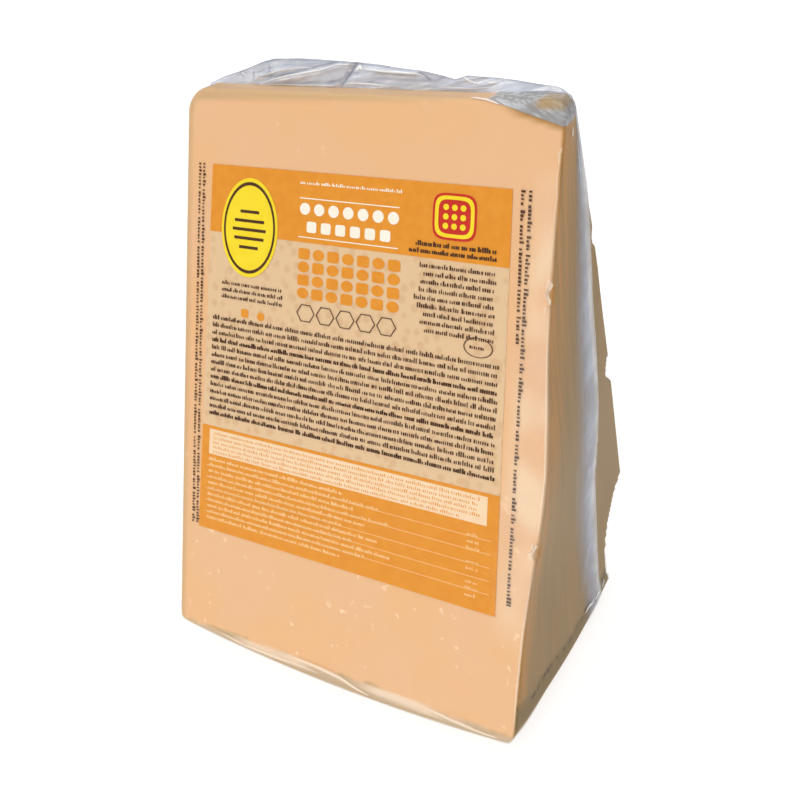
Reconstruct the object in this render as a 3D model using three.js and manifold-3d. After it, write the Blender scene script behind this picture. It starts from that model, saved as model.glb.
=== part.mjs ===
// A vacuum-packed wedge of hard grating cheese: one slice of a wheel that was first halved
// through its height, sealed in a clear film bag and standing on its rind. Millimetres, +Z up.
// The print faces -Y, the wheel's halving cut faces +X, and the wheel's axis runs along X,
// above the blunt tip. The origin is under the middle of the pack, on the ground.
import * as THREE from 'three';
import { mergeVertices } from 'three/addons/utils/BufferGeometryUtils.js';
import Module from 'manifold-3d';

// ---- Driving dimensions ------------------------------------------------------------------
const WHEEL_RADIUS = 196;          // axis to rind, at the pack's left and right edges
const RIND_BULGE = 3.1;            // the rind stands out this much more halfway across
const WEDGE_ANGLE = 31.4;          // degrees, about a twelfth of the wheel
const TIP_DEPTH = 17.3;            // how far under the wheel's axis the tip is cut off flat
const TIP_WIDTH = 121;             // left to right across the tip
const RIM_WIDTH = 126.8;           // left to right across the rind
const REST_SPOT_RISE = 0.5;        // the rind is pressed flat by this much where it stands

const CUT_INSET = 1.3;             // the halving cut's back edge runs in by this much
const CUT_INSET_FROM = 0.4;        // from this share of the way down; at the tip not at all
const CUT_STAND = 0.5;             // its front edge stands out by this much
const CUT_BOW = 3.2;               // and bows out this much further
const CUT_BOW_AT = 0.56;           // share of the way from tip to rind where it bows most
const CUT_BOW_SPREAD = 0.17;       // share of the way over which the bow dies out

const SIDE_ROUND = 2.4;            // film radius along the left and right edges
const TIP_ROUND = 4;               // film radius along the two long edges of the tip
const RIM_ROUND = 3.2;             // film radius along the two long edges of the rind

const EAR_LENGTH = 112;            // gathered seal of the bag, along the tip's back edge
const EAR_HEIGHT = 6.3;            // above the tip, at its highest
const EAR_PEAK = 0.34;             // share of the way from left to right where it is highest
const EAR_END_DROP = 1.5;          // its two ends lie this far under the tip's top
const EAR_THICKNESS = 1.6;
const EAR_TAPER = 0.44;            // share of its thickness that it loses up to its free edge
const EAR_FROM_EDGE = 2;           // in from the tip's back edge
const EAR_ROOT = 3;                // how deep the ear starts inside the pack
const EAR_LEAN = 1.8;              // its free edge leans back by this much
const EAR_CURL = 1.5;              // power by which the lean grows with height
// Waves along the ear: size in millimetres, radians from end to end, and where each starts.
const EAR_CRUMPLES = [{ size: 0.33, turns: 29, start: 0 }, { size: 0.26, turns: 53, start: 1 }];
const EAR_FOLDS = [{ size: 0.9, turns: 17, start: 0 }, { size: 0.5, turns: 37, start: 2 }];

const FRONT_STEPS = 14;            // facets down each radial face
const RIND_STEPS = 26;             // facets round the rind
const TIP_STEPS = 5;
const CORNER_STEPS = 4;            // facets round each film corner
const SIDE_STEPS = 4;              // facets round the left and right edges
const WIDTH_STEPS = 12;            // facets from left to right
const EAR_STEPS = 40;              // facets along the ear
const EAR_LEVELS = 3;              // facets up the ear
const CHIP_DETAIL = 2;             // subdivisions of the ball that cuts a chip
const CORNER_DETAIL = 7;           // and of the ball that hollows the broken corner

// Chips of the cheese, where the film is sucked in. A ball cuts each of them: face is -1 on
// the front edge and +1 on the back edge of the halving cut, depth is measured down from the
// wheel's axis, and the ball's middle stands off the edge, outwards.
const CHIPS = [
  { face: 1, depth: 59.5, radius: 3, standOff: 1 },
  { face: 1, depth: 106.5, radius: 5.8, standOff: 0.9 },
  { face: -1, depth: 64, radius: 3.2, standOff: 1.1 },
  { face: -1, depth: 132.5, radius: 4.2, standOff: 1.7 },
];
// The back lower corner of the halving cut is broken away, and so is the tip's front corner.
const BROKEN_CORNER = { beyondSide: 10, beyondMiddle: 49.8, depth: 178.3, radius: 28 };
const BROKEN_TIP = { alongTip: 24.5, downEdge: 6.4, intoTip: 8 };

const HALF_ANGLE = THREE.MathUtils.degToRad(WEDGE_ANGLE / 2);
const AXIS_HEIGHT = WHEEL_RADIUS + RIND_BULGE - REST_SPOT_RISE;
const RIM_CORNER_DEPTH = WHEEL_RADIUS * Math.cos(HALF_ANGLE);

const wasm = await Module();
wasm.setup();

// ---- Helpers -----------------------------------------------------------------------------
// Share of the way from the tip to the rind's corners, at a depth under the wheel's axis.
function shareDown(depth) {
  return (depth - TIP_DEPTH) / (RIM_CORNER_DEPTH - TIP_DEPTH);
}

// How far the left side (-1) or the right side (+1) stands off the middle of the pack.
function sideReach(side, y, depth) {
  const share = shareDown(depth);
  const half = (TIP_WIDTH + (RIM_WIDTH - TIP_WIDTH) * share) / 2;
  if (side < 0) return half;
  const frontShare = 0.5 - y / (2 * depth * Math.tan(HALF_ANGLE));
  const inset = CUT_INSET * THREE.MathUtils.smoothstep(share, 0, CUT_INSET_FROM);
  const bow = CUT_BOW * Math.exp(-(((share - CUT_BOW_AT) / CUT_BOW_SPREAD) ** 2));
  return half + THREE.MathUtils.lerp(-inset, CUT_STAND + bow, frontShare);
}

// The rind's radius halfway across is larger than at the sides.
function wheelRadius(across) {
  return WHEEL_RADIUS + RIND_BULGE * (1 - across ** 2);
}

// A point on a radial face, seen along the wheel's axis: side is -1 for the front, +1 for the
// back, reach runs from the axis along the face, and inset goes into the cheese.
function onFace(side, reach, inset) {
  const sin = Math.sin(HALF_ANGLE);
  const cos = Math.cos(HALF_ANGLE);
  return new THREE.Vector2(side * (reach * sin - inset * cos), -(reach * cos + inset * sin));
}

function arc(centre, radius, from, to, steps) {
  const points = [];
  for (let i = 0; i <= steps; i += 1) {
    const angle = from + (to - from) * (i / steps);
    points.push(new THREE.Vector2(
      centre.x + radius * Math.cos(angle),
      centre.y + radius * Math.sin(angle),
    ));
  }
  return points;
}

// The wedge's outline in Y and depth, counter-clockwise seen from +X, moved in by inset all
// round. The count of points doesn't depend on inset, so two outlines can be joined.
function outline(inset, radius) {
  const tipReach = (TIP_DEPTH + TIP_ROUND * (1 + Math.sin(HALF_ANGLE))) / Math.cos(HALF_ANGLE);
  const rimReach = Math.sqrt((radius - RIM_ROUND) ** 2 - RIM_ROUND ** 2);
  const rimTurn = HALF_ANGLE - Math.asin(RIM_ROUND / (radius - RIM_ROUND));
  const down = -Math.PI / 2;
  const points = [];

  // Round the tip's front film corner, down the front face and round the rind's front corner.
  const tipFront = onFace(-1, tipReach, TIP_ROUND);
  points.push(...arc(tipFront, TIP_ROUND - inset, Math.PI / 2, Math.PI - HALF_ANGLE,
    CORNER_STEPS));
  for (let i = 1; i < FRONT_STEPS; i += 1) {
    const reach = tipReach + (rimReach - tipReach) * (i / FRONT_STEPS);
    points.push(onFace(-1, reach, inset));
  }
  const rimFront = onFace(-1, rimReach, RIM_ROUND);
  points.push(...arc(rimFront, RIM_ROUND - inset, Math.PI - HALF_ANGLE, Math.PI * 1.5 - rimTurn,
    CORNER_STEPS));

  // Round the rind.
  const axis = new THREE.Vector2(0, 0);
  const rind = arc(axis, radius - inset, down - rimTurn, down + rimTurn, RIND_STEPS);
  points.push(...rind.slice(1, -1));

  // Up the back face, as a mirror of the front.
  const front = points.slice(0, CORNER_STEPS * 2 + FRONT_STEPS + 1);
  front.reverse().forEach((point) => points.push(new THREE.Vector2(-point.x, point.y)));

  // Along the tip.
  const tipHalf = -tipFront.x;
  for (let i = 1; i < TIP_STEPS; i += 1) {
    points.push(new THREE.Vector2(tipHalf - 2 * tipHalf * (i / TIP_STEPS), -TIP_DEPTH - inset));
  }
  return points;
}

// A closed skin over rings of points that stand side by side from left to right. Each ring has
// as many points as the others, in [x, y, z], counter-clockwise seen from +X.
function loft(rings) {
  const count = rings[0].length;
  const triangles = [];
  for (let ring = 0; ring < rings.length - 1; ring += 1) {
    for (let i = 0; i < count; i += 1) {
      const a = ring * count + i;
      const b = ring * count + ((i + 1) % count);
      triangles.push(a, b, a + count, b, b + count, a + count);
    }
  }
  const capOf = (ring) => {
    const contour = ring.map(([, y, z]) => new THREE.Vector2(y, z));
    return THREE.ShapeUtils.triangulateShape(contour, []);
  };
  capOf(rings[0]).forEach(([a, b, c]) => triangles.push(a, c, b));
  const last = (rings.length - 1) * count;
  capOf(rings.at(-1)).forEach(([a, b, c]) => triangles.push(last + a, last + b, last + c));

  const geometry = new THREE.BufferGeometry();
  geometry.setAttribute('position', new THREE.Float32BufferAttribute(rings.flat(2), 3));
  geometry.setIndex(triangles);
  return geometry;
}

function toSolid(geometry) {
  const bare = geometry.clone();
  bare.deleteAttribute('normal');
  bare.deleteAttribute('uv');
  const merged = mergeVertices(bare, 1e-4);
  return new wasm.Manifold(new wasm.Mesh({
    numProp: 3,
    vertProperties: merged.getAttribute('position').array,
    triVerts: new Uint32Array(merged.getIndex().array),
  }));
}

function toGeometry(solid) {
  const mesh = solid.getMesh();
  const geometry = new THREE.BufferGeometry();
  geometry.setAttribute('position', new THREE.BufferAttribute(mesh.vertProperties, 3));
  geometry.setIndex(new THREE.BufferAttribute(mesh.triVerts, 1));
  geometry.computeVertexNormals();
  return geometry;
}

// ---- The filled bag ----------------------------------------------------------------------
// Outlines stand side by side from the left side to the right. Near each side they shrink
// along a quarter circle, which rounds the film over the edge.
function filledBag() {
  const stations = [];
  for (let i = 0; i <= SIDE_STEPS; i += 1) {
    const turn = (Math.PI / 2) * (1 - i / SIDE_STEPS);
    const fromSide = SIDE_ROUND * (1 - Math.sin(turn));
    const inset = SIDE_ROUND * (1 - Math.cos(turn));
    stations.push({ across: -1, fromSide, inset });
  }
  for (let i = 1; i < WIDTH_STEPS; i += 1) {
    stations.push({ across: -1 + 2 * (i / WIDTH_STEPS), fromSide: SIDE_ROUND, inset: 0 });
  }
  for (let i = SIDE_STEPS; i >= 0; i -= 1) {
    stations.push({ ...stations[i], across: 1 });
  }

  return loft(stations.map(({ across, fromSide, inset }) => (
    outline(inset, wheelRadius(across)).map((point) => {
      const left = -(sideReach(-1, point.x, -point.y) - fromSide);
      const right = sideReach(1, point.x, -point.y) - fromSide;
      const x = THREE.MathUtils.lerp(left, right, (across + 1) / 2);
      return [x, point.x, Math.max(AXIS_HEIGHT + point.y, 0)];
    })
  )));
}

// ---- The bag's gathered seal --------------------------------------------------------------
// A thin fin of crumpled film over the tip's back edge, lowest at its ends.

// The sum of some waves, at a share of the way along the ear.
function wavesAt(waves, share) {
  const heights = waves.map(({ size, turns, start }) => size * Math.sin(share * turns + start));
  return heights.reduce((sum, height) => sum + height, 0);
}

// Height of the ear's free edge above the tip.
function earHeight(share) {
  const warped = share ** (Math.log(0.5) / Math.log(EAR_PEAK));
  const swell = Math.sin(Math.PI * warped);
  const crest = EAR_HEIGHT + wavesAt(EAR_CRUMPLES, share);
  return THREE.MathUtils.lerp(-EAR_END_DROP, crest, swell);
}

function gatheredSeal() {
  const backEdge = TIP_DEPTH * Math.tan(HALF_ANGLE) - EAR_FROM_EDGE;
  const rings = [];
  for (let i = 0; i <= EAR_STEPS; i += 1) {
    const share = i / EAR_STEPS;
    const x = EAR_LENGTH * (share - 0.5);
    const top = earHeight(share);
    const lean = EAR_LEAN + wavesAt(EAR_FOLDS, share);
    const ring = [];
    for (let level = 0; level <= EAR_LEVELS; level += 1) {
      const rise = level / EAR_LEVELS;
      const z = AXIS_HEIGHT - TIP_DEPTH - EAR_ROOT + (top + EAR_ROOT) * rise;
      const y = backEdge + lean * rise ** EAR_CURL;
      const half = (EAR_THICKNESS / 2) * (1 - EAR_TAPER * rise);
      ring.unshift([x, y - half, z]);
      ring.push([x, y + half, z]);
    }
    rings.push(ring);
  }
  return loft(rings);
}

// ---- Chips and broken corners -------------------------------------------------------------
// A rough ball that cuts a chip out of the halving cut's front or back edge.
function chipBall({ face, depth, radius, standOff }) {
  const shift = standOff / Math.SQRT2;
  const at = onFace(face, depth / Math.cos(HALF_ANGLE), -shift);
  const ball = new THREE.IcosahedronGeometry(radius, CHIP_DETAIL);
  ball.translate(sideReach(1, at.x, depth) + shift, at.x, AXIS_HEIGHT + at.y);
  return ball;
}

// The large ball that hollows the broken back corner, where the film spans the gap.
function cornerBall() {
  const { beyondSide, beyondMiddle, depth, radius } = BROKEN_CORNER;
  const ball = new THREE.IcosahedronGeometry(radius, CORNER_DETAIL);
  ball.translate(RIM_WIDTH / 2 - CUT_INSET + beyondSide, beyondMiddle, AXIS_HEIGHT - depth);
  return ball;
}

// A block whose lower face is the slanting plane along which the tip's front corner broke.
function tipBlock() {
  const { alongTip, downEdge, intoTip } = BROKEN_TIP;
  const top = AXIS_HEIGHT - TIP_DEPTH;
  const front = -TIP_DEPTH * Math.tan(HALF_ANGLE);
  const low = onFace(-1, (TIP_DEPTH + downEdge) / Math.cos(HALF_ANGLE), 0);
  const side = sideReach(1, front, TIP_DEPTH);
  const along = new THREE.Vector3(side - alongTip, front, top);
  const down = new THREE.Vector3(sideReach(1, low.x, -low.y), low.x, AXIS_HEIGHT + low.y);
  const into = new THREE.Vector3(side, front + intoTip, top);
  const outward = new THREE.Plane().setFromCoplanarPoints(along, down, into).normal;
  const size = TIP_WIDTH / 2;
  const block = new THREE.BoxGeometry(size, size, size);
  block.translate(0, 0, size / 2);
  block.applyQuaternion(
    new THREE.Quaternion().setFromUnitVectors(new THREE.Vector3(0, 0, 1), outward),
  );
  const middle = along.clone().add(down).add(into).divideScalar(3);
  block.translate(middle.x, middle.y, middle.z);
  return block;
}

// ---- Assembly ----------------------------------------------------------------------------
let pack = toSolid(filledBag()).subtract(toSolid(tipBlock())).add(toSolid(gatheredSeal()));
CHIPS.forEach((chip) => {
  pack = pack.subtract(toSolid(chipBall(chip)));
});
pack = pack.subtract(toSolid(cornerBall()));

const shape = toGeometry(pack);
shape.computeBoundingBox();
const middle = shape.boundingBox.getCenter(new THREE.Vector3());
shape.translate(-middle.x, -middle.y, 0);

const sealedWedge = new THREE.Mesh(
  shape,
  new THREE.MeshStandardMaterial({ color: 0xf0c08d, roughness: 0.3, metalness: 0 }),
);
sealedWedge.name = 'sealed_wedge';

const group = new THREE.Group();
group.add(sealedWedge);

export default group;
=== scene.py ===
import math

import bpy
import numpy as np
from mathutils import Euler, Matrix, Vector, noise
from mathutils.bvhtree import BVHTree


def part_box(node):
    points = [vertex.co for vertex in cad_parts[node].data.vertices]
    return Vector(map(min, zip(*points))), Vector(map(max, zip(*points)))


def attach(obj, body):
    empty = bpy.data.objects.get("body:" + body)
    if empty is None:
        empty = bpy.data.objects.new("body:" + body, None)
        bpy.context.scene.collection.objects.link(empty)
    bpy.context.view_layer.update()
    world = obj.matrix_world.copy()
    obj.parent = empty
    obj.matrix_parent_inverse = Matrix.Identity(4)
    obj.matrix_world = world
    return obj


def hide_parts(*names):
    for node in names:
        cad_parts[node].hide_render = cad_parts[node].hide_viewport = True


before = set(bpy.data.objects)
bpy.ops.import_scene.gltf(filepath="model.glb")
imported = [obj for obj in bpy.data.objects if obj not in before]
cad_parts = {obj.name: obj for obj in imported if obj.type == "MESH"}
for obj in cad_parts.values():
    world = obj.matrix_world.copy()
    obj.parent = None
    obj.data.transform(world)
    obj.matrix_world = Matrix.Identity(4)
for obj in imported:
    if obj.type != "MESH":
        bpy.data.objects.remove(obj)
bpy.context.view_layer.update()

NODE = "sealed_wedge"
box_low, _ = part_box(NODE)


# ---- The cheese -----------------------------------------------------------------------------
# A slice of half a wheel: pressed curd aged until hard, cut with wire and broken at its
# corners. Its rind is the wheel's own dried outer skin, a few millimetres deep.

# The wedge's form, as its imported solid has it, with crisper cut edges.
WHEEL_RADIUS = 196.0
RIND_BULGE = 3.1
REST_SPOT_RISE = 0.5
HALF_ANGLE = math.radians(31.4 / 2)
TIP_DEPTH = 17.3
TIP_WIDTH, RIM_WIDTH = 121.0, 126.8
CUT_INSET, CUT_INSET_FROM = 1.3, 0.4
CUT_STAND, CUT_BOW, CUT_BOW_AT, CUT_BOW_SPREAD = 0.5, 3.2, 0.56, 0.17
SIDE_ROUND, TIP_ROUND, RIM_ROUND = 1.0, 1.8, 3.2
AXIS_HEIGHT = WHEEL_RADIUS + RIND_BULGE - REST_SPOT_RISE
RIM_CORNER_DEPTH = WHEEL_RADIUS * math.cos(HALF_ANGLE)
MIDDLE_X = box_low.x * 1000 + RIM_WIDTH / 2

# How fine the skins are.
FACE_STEPS, CORNER_STEPS, EDGE_STEPS, DEEP_STEPS, WIDE_STEPS = 150, 5, 5, 70, 116

# How far the halving cut's back edge wanders off the straight, at some depths.
BACK_EDGE_DEPTHS = (17, 40, 56, 70, 110, 150)
BACK_EDGE_STANDS = (-1.7, -0.8, 0.3, 0.8, 0.7, 0.0)

# How far the front's foot hangs lower than an even arc, at its left and at its right end. The
# pairs are where that starts and where it is full: the way from the axis, and round to the front.
FOOT_LOWER_LEFT, FOOT_LOWER_RIGHT = 0.7, 2.0
FOOT_REACHES, FOOT_TURNS = (182.0, 195.0), (-0.45, -0.85)

# The corners that the front view shows: side, at the rind or not, radius.
CORNERS = ((-1, False, 9.5), (1, False, 5.0), (-1, True, 5.5), (1, True, 5.5))

# Chips along the halving cut's edges: face, depth, ball radius, how far off the edge its middle
# is. A larger ball hollows the corner that broke off: x, y, depth, radius. The tip's front corner
# broke along a plane, this far along the tip, down the front and into the tip.
CHIPS = ((1, 59.5, 3.0, 1.0), (1, 106.5, 5.3, 1.2), (-1, 63.5, 2.6, 1.1), (-1, 131.5, 3.2, 1.6))
CORNER_BALL = (RIM_WIDTH / 2 - CUT_INSET + 12.2, 51.8, 176.3, 28.0)
BROKEN_TIP_ALONG, BROKEN_TIP_DOWN, BROKEN_TIP_INTO = 24.5, 6.4, 8.0

# The slanting line on the front above which the tip is broken and the film gathered.
GATHER_X, GATHER_DEPTHS = (34.5, 42.9, 46.9, 50.7, 55.7, 61.3), (16.8, 19.4, 20.4, 21.0, 22.3, 23.7)

CHEESE_INSIDE_FILM = 0.35


def smooth(low, high, value):
    """Runs softly from 0 at low to 1 at high, also where high is the smaller of the two."""
    share = np.clip((value - low) / (high - low), 0, 1)
    return share * share * (3 - 2 * share)


def side_reach(side, y, depth):
    """How far out the wedge's left (-1) or right (1) side stands at a place."""
    share = (depth - TIP_DEPTH) / (RIM_CORNER_DEPTH - TIP_DEPTH)
    half = (TIP_WIDTH + (RIM_WIDTH - TIP_WIDTH) * share) / 2
    if side < 0:
        return half
    front_share = 0.5 - y / (2 * depth * math.tan(HALF_ANGLE))
    inset = CUT_INSET * smooth(0, CUT_INSET_FROM, share)
    bow = CUT_BOW * np.exp(-(((share - CUT_BOW_AT) / CUT_BOW_SPREAD) ** 2))
    wander = np.interp(depth, BACK_EDGE_DEPTHS, BACK_EDGE_STANDS) * np.clip(1 - front_share, 0, 1) ** 2
    return half - inset + (inset + CUT_STAND + bow) * front_share + wander


def on_face(side, reach, inset):
    """y and depth on the front (-1) or back (1) cut, that far from the axis and inside it."""
    sin, cos = math.sin(HALF_ANGLE), math.cos(HALF_ANGLE)
    return np.array([side * (reach * sin - inset * cos), reach * cos + inset * sin])


def half_outline(inset, radius):
    """From the tip's front corner, down the front face, to the rind's front corner: y and depth."""
    tip_reach = (TIP_DEPTH + TIP_ROUND * (1 + math.sin(HALF_ANGLE))) / math.cos(HALF_ANGLE)
    rim_reach = math.sqrt((radius - RIM_ROUND) ** 2 - RIM_ROUND ** 2)
    rim_turn = HALF_ANGLE - math.asin(RIM_ROUND / (radius - RIM_ROUND))
    face_turn = math.pi - HALF_ANGLE
    corners = (
        (on_face(-1, tip_reach, TIP_ROUND), TIP_ROUND - inset, math.pi / 2, face_turn),
        (on_face(-1, rim_reach, RIM_ROUND), RIM_ROUND - inset, face_turn, math.pi * 1.5 - rim_turn),
    )
    points = []
    for centre, size, start, end in corners:
        if points:
            for i in range(1, FACE_STEPS):
                reach = tip_reach + (rim_reach - tip_reach) * i / FACE_STEPS
                points.append(on_face(-1, reach, inset))
        for i in range(CORNER_STEPS + 1):
            turn = start + (end - start) * i / CORNER_STEPS
            points.append(centre + size * np.array([math.cos(turn), -math.sin(turn)]))
    return np.array(points)


def section(inset, radius):
    """A grid of y and depth: rows from tip to rind, columns from front to back."""
    front = half_outline(inset, radius)
    reach = np.hypot(front[:, 0], front[:, 1])
    across = np.linspace(1, -1, DEEP_STEPS + 1)
    y = np.outer(front[:, 0], across)
    depth = np.repeat(front[:, 1:], DEEP_STEPS + 1, axis=1)
    round_share = (front[:, 1] - front[0, 1]) / (front[-1, 1] - front[0, 1])
    arc = np.sqrt(np.maximum(reach[:, None] ** 2 - y ** 2, 0))
    return y, depth + (arc - depth) * round_share[:, None]


def wedge_skin(shrink):
    """Points and quads of the closed wedge, shrunk by that much on every side."""
    stations = []
    for i in range(EDGE_STEPS + 1):
        turn = math.pi / 2 * (1 - i / EDGE_STEPS)
        stations.append((-1, SIDE_ROUND * (1 - math.sin(turn)), SIDE_ROUND * (1 - math.cos(turn))))
    middle = [(-1 + 2 * i / WIDE_STEPS, SIDE_ROUND, 0) for i in range(1, WIDE_STEPS)]
    stations = stations + middle + [(1, off, inset) for _, off, inset in reversed(stations)]
    points, index, quads = [], {}, []

    def corner(station, row, column, grid):
        key = (station, row, column)
        if key not in index:
            across, off, inset = stations[station]
            y, depth = grid[0][row, column], grid[1][row, column]
            left = -(side_reach(-1, y, depth) - off - shrink)
            right = side_reach(1, y, depth) - off - shrink
            index[key] = len(points)
            points.append((left + (right - left) * (across + 1) / 2, y, depth))
        return index[key]

    grids = [section(inset + shrink, WHEEL_RADIUS + RIND_BULGE * (1 - across ** 2))
             for across, _, inset in stations]
    rows, columns = grids[0][0].shape
    ring = [(row, 0) for row in range(rows)] + [(rows - 1, c) for c in range(1, columns)]
    ring += [(row, columns - 1) for row in range(rows - 2, -1, -1)]
    ring += [(0, c) for c in range(columns - 2, 0, -1)]
    for s in range(len(stations) - 1):
        for a, b in zip(ring, ring[1:] + ring[:1]):
            quads.append((corner(s, *a, grids[s]), corner(s, *b, grids[s]),
                          corner(s + 1, *b, grids[s + 1]), corner(s + 1, *a, grids[s + 1])))
    for s, flip in ((0, True), (len(stations) - 1, False)):
        for row in range(rows - 1):
            for c in range(columns - 1):
                cell = ((row, c), (row + 1, c), (row + 1, c + 1), (row, c + 1))
                quad = tuple(corner(s, *place, grids[s]) for place in cell)
                quads.append(quad[::-1] if flip else quad)
    return np.array(points), quads


def soften(points, shrink):
    """Rounds the corners that the front view shows."""
    x, y, depth = points.T.copy()
    for side, at_rind, radius in CORNERS:
        reach = np.hypot(y, depth)
        sign, along = (1, reach) if at_rind else (-1, depth)
        middle = WHEEL_RADIUS - radius if at_rind else TIP_DEPTH + radius
        middle_x = side * (side_reach(side, y, depth) - radius)
        out_x, out_along = side * (x - middle_x), sign * (along - middle)
        distance = np.hypot(out_x, out_along)
        beyond = (out_x > 0) & (out_along > 0) & (distance > radius - shrink)
        scale = np.where(beyond, (radius - shrink) / np.maximum(distance, 1e-6), 1)
        x = np.where(beyond, middle_x + side * out_x * scale, x)
        moved = np.where(beyond, middle + sign * out_along * scale, along)
        if at_rind:
            y, depth = y * moved / reach, depth * moved / reach
        else:
            depth = moved
    reach = np.hypot(y, depth)
    to_right = np.clip(x / RIM_WIDTH + 0.5, 0, 1)
    lower = FOOT_LOWER_LEFT + (FOOT_LOWER_RIGHT - FOOT_LOWER_LEFT) * to_right
    round_to_front = np.arctan2(y, depth) / HALF_ANGLE
    lower = lower * smooth(*FOOT_REACHES, reach) * smooth(*FOOT_TURNS, round_to_front)
    return np.column_stack([x, y * (1 + lower / reach), depth * (1 + lower / reach)])


def above_break(points):
    """How far points stand above the plane that the tip's corner broke along."""
    front = -TIP_DEPTH * math.tan(HALF_ANGLE)
    side = side_reach(1, front, TIP_DEPTH)
    low = on_face(-1, (TIP_DEPTH + BROKEN_TIP_DOWN) / math.cos(HALF_ANGLE), 0)
    along = np.array([side - BROKEN_TIP_ALONG, front, TIP_DEPTH])
    down = np.array([side_reach(1, low[0], low[1]), low[0], low[1]])
    into = np.array([side, front + BROKEN_TIP_INTO, TIP_DEPTH])
    normal = np.cross(down - along, into - along)
    normal /= np.linalg.norm(normal)
    normal *= np.sign(normal @ np.array([1.0, -1.0, -1.0]))
    return (points - along) @ normal, normal


def sink(points, shrink):
    """Presses points in, straight across the wedge, behind the chips and the broken back corner."""
    balls = [CORNER_BALL]
    for face, depth, radius, stand_off in CHIPS:
        shift = stand_off / math.sqrt(2)
        y, deep = on_face(face, depth / math.cos(HALF_ANGLE), -shift)
        balls.append((side_reach(1, y, depth) + shift, y, deep, radius))
    x = points[:, 0].copy()
    for ball_x, ball_y, ball_depth, radius in balls:
        off = (points[:, 1] - ball_y) ** 2 + (points[:, 2] - ball_depth) ** 2
        half_wide = np.sqrt(np.maximum((radius + shrink) ** 2 - off, 0))
        x = np.where(half_wide > 0, np.minimum(x, ball_x - half_wide), x)
    return np.column_stack([x, points[:, 1:]])


def grown(points, size, depth, seed):
    """Smooth random heights at points, from a noise whose lumps are that many millimetres wide."""
    shift = Vector((seed * 7.3, seed * 3.1, seed * 5.7))
    return np.array([noise.noise(Vector(p) / size + shift) for p in points]) * depth


def to_part(points):
    """From x, y and depth under the wheel's axis to the part's frame, in millimetres."""
    return np.column_stack([points[:, 0] + MIDDLE_X, points[:, 1], AXIS_HEIGHT - points[:, 2]])


def make_piece(name, points, faces, material, rounded=True):
    """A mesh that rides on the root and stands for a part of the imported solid."""
    mesh = bpy.data.meshes.new(name)
    mesh.from_pydata((to_part(np.asarray(points)) / 1000).tolist(), [], faces)
    mesh.validate()
    mesh.polygons.foreach_set("use_smooth", [rounded] * len(mesh.polygons))
    mesh.materials.append(material)
    piece = bpy.data.objects.new(name, mesh)
    bpy.context.scene.collection.objects.link(piece)
    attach(piece, "root")
    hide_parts(NODE)
    return piece


def paint(piece, name, values):
    """Keeps a number at each point of a piece, for its material to read."""
    layer = piece.data.attributes.new(name, "FLOAT", "POINT")
    layer.data.foreach_set("value", np.asarray(values, np.float32))


def linear(code):
    """An sRGB hex colour as linear RGBA."""
    parts = [int(code[i:i + 2], 16) / 255 for i in (1, 3, 5)]
    return tuple(p / 12.92 if p <= 0.04045 else ((p + 0.055) / 1.055) ** 2.4 for p in parts) + (1,)


def add(tree, kind, sockets=None, **settings):
    """Adds a shader node; each socket gets a value, or a link from another node's output."""
    node = tree.nodes.new("ShaderNode" + kind)
    for key, value in settings.items():
        setattr(node, key, value)
    for key, value in (sockets or {}).items():
        if isinstance(value, bpy.types.NodeSocket):
            tree.links.new(value, node.inputs[key])
        else:
            node.inputs[key].default_value = value
    return node


def new_material(name):
    """An empty material: it, its node tree, and the place on the object in metres."""
    material = bpy.data.materials.new(name)
    material.use_nodes = True
    tree = material.node_tree
    tree.nodes.clear()
    return material, tree, add(tree, "TexCoord").outputs["Object"]


def blend_colour(tree, share, first, second):
    """A mix of two colours by a share; a colour is a hex code or another node's output."""
    sides = [linear(side) if isinstance(side, str) else side for side in (first, second)]
    return add(tree, "Mix", {0: share, 6: sides[0], 7: sides[1]}, data_type="RGBA").outputs[2]


def noise_at(tree, vector, size_mm, detail=2, rough=0.5):
    """Noise around 0.5, in lumps of about that size."""
    sockets = {"Vector": vector, "Scale": 1000 / size_mm, "Detail": detail, "Roughness": rough}
    return add(tree, "TexNoise", sockets).outputs["Fac"]


def ramp(tree, value, low, high):
    """The node form of smooth: from 0 at low to 1 at high."""
    sockets = {"Value": value, "From Min": low, "From Max": high}
    return add(tree, "MapRange", sockets, interpolation_type="SMOOTHSTEP").outputs["Result"]


def maths(tree, operation, *values):
    return add(tree, "Math", dict(enumerate(values)), operation=operation).outputs[0]


def painted(tree, name):
    """What paint kept on the piece under that name."""
    return add(tree, "Attribute", attribute_name=name).outputs["Fac"]


def end_in(tree, shader):
    add(tree, "OutputMaterial", {"Surface": shader.outputs[0]})


# Aged hard cheese, wire cut: dense, waxy paste that looks matt and evenly pale, with faint paler
# flecks of 1 to 3 mm, most of them low down, where the curd's grains and crystals show.
aged_cheese, tree, place = new_material("aged_hard_cheese")
CLOUD_MM, FLECK_MM, GRAIN_MM, WANDER_MM, MOTTLE_MM, DRAG_MM = 26, 3.2, 1.6, 9, 3, 2.4
DRAG_STRETCH, DRAG_SHARE = (1, 1, 0.05), 0.45

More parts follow.
